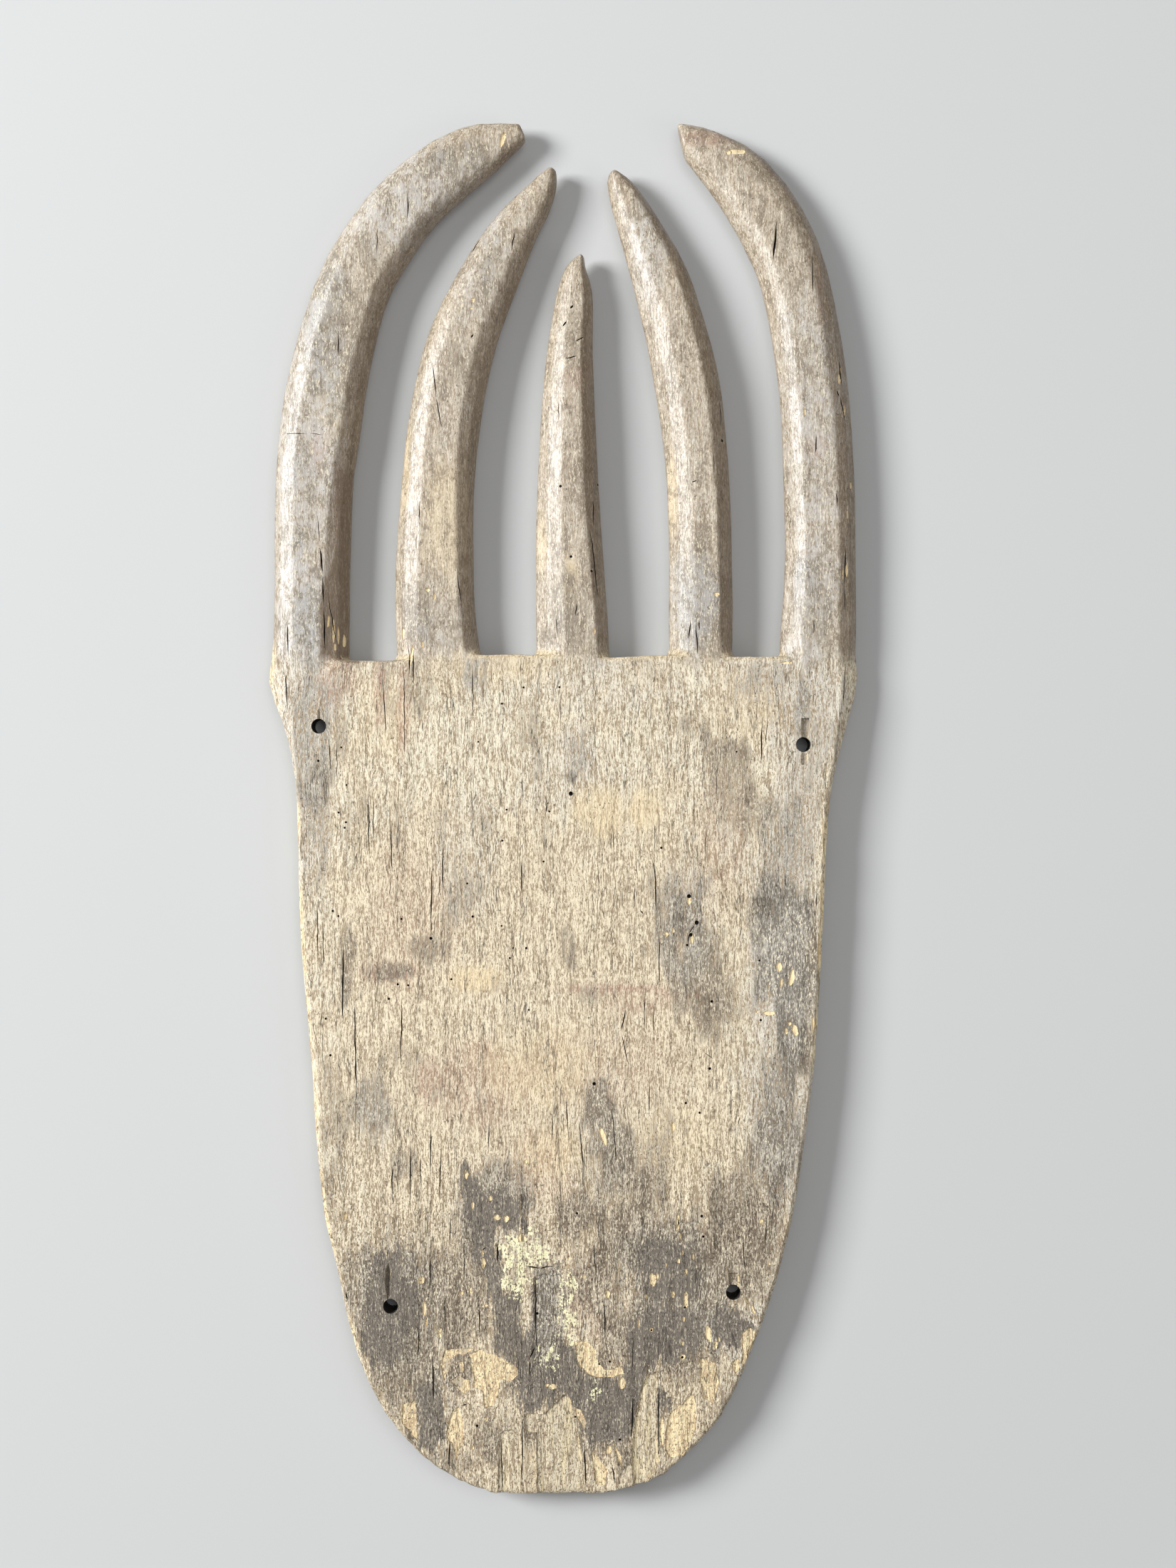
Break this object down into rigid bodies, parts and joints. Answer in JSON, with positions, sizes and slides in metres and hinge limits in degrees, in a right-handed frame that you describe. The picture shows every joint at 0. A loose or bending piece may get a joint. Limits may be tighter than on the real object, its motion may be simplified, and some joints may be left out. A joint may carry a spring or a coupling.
{
  "type": "horned wooden board mask",
  "caption": "Flat carved wooden board mask, rounded below and ending above in a row of curved horns, with cord holes near its corners.",
  "frame": {"origin": "middle of the outline, on the surface that the mask lies on", "axes": "+Y along the board towards the horns' tips, +Z out of the face that shows, +X to the right seen from that face"},
  "size_m": [0.4378, 1.0182, 0.0297],
  "materials": {
    "weathered_wood": "dry, weathered and handled grey-brown patina with open grain, lighter where chipped"
  },
  "bodies": {
    "root": {"horned_board_mask": "weathered_wood"}
  },
  "joints": []
}
